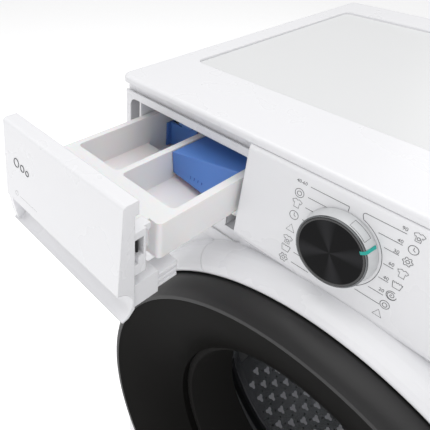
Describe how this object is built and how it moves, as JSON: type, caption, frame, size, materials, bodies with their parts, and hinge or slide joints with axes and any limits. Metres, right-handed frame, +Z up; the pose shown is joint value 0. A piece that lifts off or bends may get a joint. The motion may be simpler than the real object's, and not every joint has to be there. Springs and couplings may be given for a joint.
{
  "type": "front load washing machine",
  "caption": "White front load washing machine with a black round door, a programme knob and a pulled-out two-bay detergent drawer.",
  "frame": {"origin": "on the floor, under the middle of the machine with its drawer pulled out", "axes": "+X to the right seen from the front, +Y to the back, +Z up"},
  "size_m": [0.596, 0.671, 0.85],
  "materials": {
    "white_steel": "gloss",
    "galvanised": "satin",
    "white_plastic": "satin",
    "worktop_board": "satin",
    "tray_plastic": "satin",
    "blue_plastic": "satin",
    "inner_plastic": "matte",
    "base_plastic": "matte",
    "door_black": "satin",
    "door_gloss": "gloss",
    "door_inner": "satin",
    "door_glass": "gloss",
    "window_black": "gloss",
    "knob_black": "satin",
    "knob_silver": "satin",
    "board_green": "matte",
    "seal_rubber": "matte",
    "concrete": "matte",
    "steel": "satin",
    "cast_alloy": "satin",
    "damper_black": "matte"
  },
  "bodies": {
    "cabinet": {"cabinet_shell": "white_steel", "rear_cover": "white_steel", "base_pan": "base_plastic", "front_panel": "white_steel", "worktop_frame": "white_plastic", "worktop_board": "worktop_board", "top_braces": "galvanised", "control_panel": "white_plastic", "display_window": "window_black", "control_board": "board_green", "detergent_housing": "white_plastic", "inlet_valve": "inner_plastic", "drain_outlet": "inner_plastic", "hinge_bracket": "galvanised", "door_lock": "inner_plastic", "door_gasket": "seal_rubber", "pump_body": "inner_plastic", "fill_hose": "seal_rubber", "sump_hose": "seal_rubber", "inner_hoses": "seal_rubber", "cabinet_fixings": "galvanised", "tub_springs": "steel"},
    "door": {"door_rim": "door_black", "door_ring": "door_gloss", "door_glass": "door_glass", "door_back": "door_inner", "hinge_leaf": "galvanised"},
    "hook": {"door_hook": "door_inner"},
    "drawer": {"drawer_front": "white_plastic", "drawer_tray": "tray_plastic"},
    "hood": {"siphon_hood": "blue_plastic"},
    "gate": {"liquid_gate": "blue_plastic"},
    "knob": {"knob_skirt": "knob_silver", "knob_cap": "knob_black"},
    "start_key": {"start_button": "white_plastic"},
    "key_1": {"option_key_1": "white_plastic"},
    "key_2": {"option_key_2": "white_plastic"},
    "tub": {"tub_front": "inner_plastic", "tub_rear": "inner_plastic", "counterweights": "concrete", "heater": "steel", "drive_motor": "cast_alloy", "drive_belt": "seal_rubber", "drum_bearings": "steel"},
    "drum_group": {"drum": "steel", "drum_lifters": "inner_plastic", "drum_spider": "cast_alloy", "drum_pulley": "cast_alloy"},
    "rotor": {"motor_pulley": "steel"},
    "cylinder_left": {"damper_cylinder_left": "damper_black"},
    "cylinder_right": {"damper_cylinder_right": "damper_black"},
    "rod_left": {"damper_rod_left": "steel"},
    "rod_right": {"damper_rod_right": "steel"},
    "flap": {"filter_flap": "white_plastic"},
    "plug": {"filter_plug": "inner_plastic"},
    "impeller": {"pump_impeller": "base_plastic"},
    "foot_1": {"foot_1": "base_plastic"},
    "foot_2": {"foot_2": "base_plastic"},
    "foot_3": {"foot_3": "base_plastic"},
    "foot_4": {"foot_4": "base_plastic"}
  },
  "joints": [
    {"name": "door_hinge", "type": "hinge", "parent": "cabinet", "child": "door", "pos_m": [-0.257, -0.2085, 0.479], "axis": [0, 0, -1], "range_deg": [0, 148]},
    {"name": "hook_turn", "type": "hinge", "parent": "door", "child": "hook", "pos_m": [0.222, -0.1945, 0.479], "axis": [0, 0, 1], "range_deg": [-7, 7], "stiffness_Nm_per_rad": 0.2},
    {"name": "drawer_slide", "type": "slide", "parent": "cabinet", "child": "drawer", "axis": [0, -1, 0], "range_m": [-0.141, 0.02]},
    {"name": "hood_lift", "type": "slide", "parent": "drawer", "child": "hood", "axis": [0, 0, 1], "range_m": [0, 0.015]},
    {"name": "gate_lift", "type": "slide", "parent": "drawer", "child": "gate", "axis": [0, 0, 1], "range_m": [0, 0.015]},
    {"name": "knob_turn", "type": "hinge", "parent": "cabinet", "child": "knob", "pos_m": [-0.0168, -0.19101, 0.795], "axis": [0, -0.9972, 0.075], "continuous": true},
    {"name": "start_press", "type": "slide", "parent": "cabinet", "child": "start_key", "axis": [0, 0.9972, -0.075], "range_m": [0, 0.0012], "stiffness_N_per_m": 400},
    {"name": "key_1_press", "type": "slide", "parent": "cabinet", "child": "key_1", "axis": [0, 0.9972, -0.075], "range_m": [0, 0.0012], "stiffness_N_per_m": 400},
    {"name": "key_2_press", "type": "slide", "parent": "cabinet", "child": "key_2", "axis": [0, 0.9972, -0.075], "range_m": [0, 0.0012], "stiffness_N_per_m": 400},
    {"name": "tub_bounce", "type": "slide", "parent": "cabinet", "child": "tub", "axis": [0, 0, 1], "range_m": [-0.008, 0.008], "stiffness_N_per_m": 12000, "springref_m": 0.02853, "deforming": ["tub_springs", "door_gasket", "fill_hose", "sump_hose"]},
    {"name": "drum_spin", "type": "hinge", "parent": "tub", "child": "drum_group", "pos_m": [0, 0.0555, 0.479], "axis": [0, 1, 0], "continuous": true},
    {"name": "motor_spin", "type": "hinge", "parent": "tub", "child": "rotor", "pos_m": [0.11, 0.2455, 0.15], "axis": [0, 1, 0], "continuous": true},
    {"name": "cylinder_left_turn", "type": "hinge", "parent": "cabinet", "child": "cylinder_left", "pos_m": [-0.205, -0.0145, 0.058], "axis": [0, 1, 0], "range_deg": [-0.8, 0.8]},
    {"name": "cylinder_right_turn", "type": "hinge", "parent": "cabinet", "child": "cylinder_right", "pos_m": [0.205, -0.0145, 0.058], "axis": [0, 1, 0], "range_deg": [-0.8, 0.8]},
    {"name": "rod_left_slide", "type": "slide", "parent": "cylinder_left", "child": "rod_left", "axis": [0.2715, 0, 0.9624], "range_m": [-0.0085, 0.0085]},
    {"name": "rod_right_slide", "type": "slide", "parent": "cylinder_right", "child": "rod_right", "axis": [-0.2715, 0, 0.9624], "range_m": [-0.0085, 0.0085]},
    {"name": "flap_hinge", "type": "hinge", "parent": "cabinet", "child": "flap", "pos_m": [0.205, -0.174, 0.055], "axis": [1, 0, 0], "range_deg": [0, 90]},
    {"name": "plug_turn", "type": "hinge", "parent": "cabinet", "child": "plug", "pos_m": [0.205, -0.1445, 0.086], "axis": [0, -1, 0], "range_deg": [0, 90]},
    {"name": "impeller_spin", "type": "hinge", "parent": "cabinet", "child": "impeller", "pos_m": [0.205, -0.0845, 0.086], "axis": [0, 1, 0], "continuous": true},
    {"name": "foot_1_screw", "type": "slide", "parent": "cabinet", "child": "foot_1", "axis": [0, 0, -1], "range_m": [-0.009, 0]},
    {"name": "foot_2_screw", "type": "slide", "parent": "cabinet", "child": "foot_2", "axis": [0, 0, -1], "range_m": [-0.009, 0]},
    {"name": "foot_3_screw", "type": "slide", "parent": "cabinet", "child": "foot_3", "axis": [0, 0, -1], "range_m": [-0.009, 0]},
    {"name": "foot_4_screw", "type": "slide", "parent": "cabinet", "child": "foot_4", "axis": [0, 0, -1], "range_m": [-0.009, 0]}
  ],
  "couplings": [
    {"joint": "motor_spin", "follows": "drum_spin", "ratio": 14},
    {"joint": "cylinder_left_turn", "follows": "tub_bounce", "rad_per_m": -1.3398},
    {"joint": "cylinder_right_turn", "follows": "tub_bounce", "rad_per_m": 1.3398},
    {"joint": "rod_left_slide", "follows": "tub_bounce", "ratio": 0.96245},
    {"joint": "rod_right_slide", "follows": "tub_bounce", "ratio": 0.96245}
  ]
}
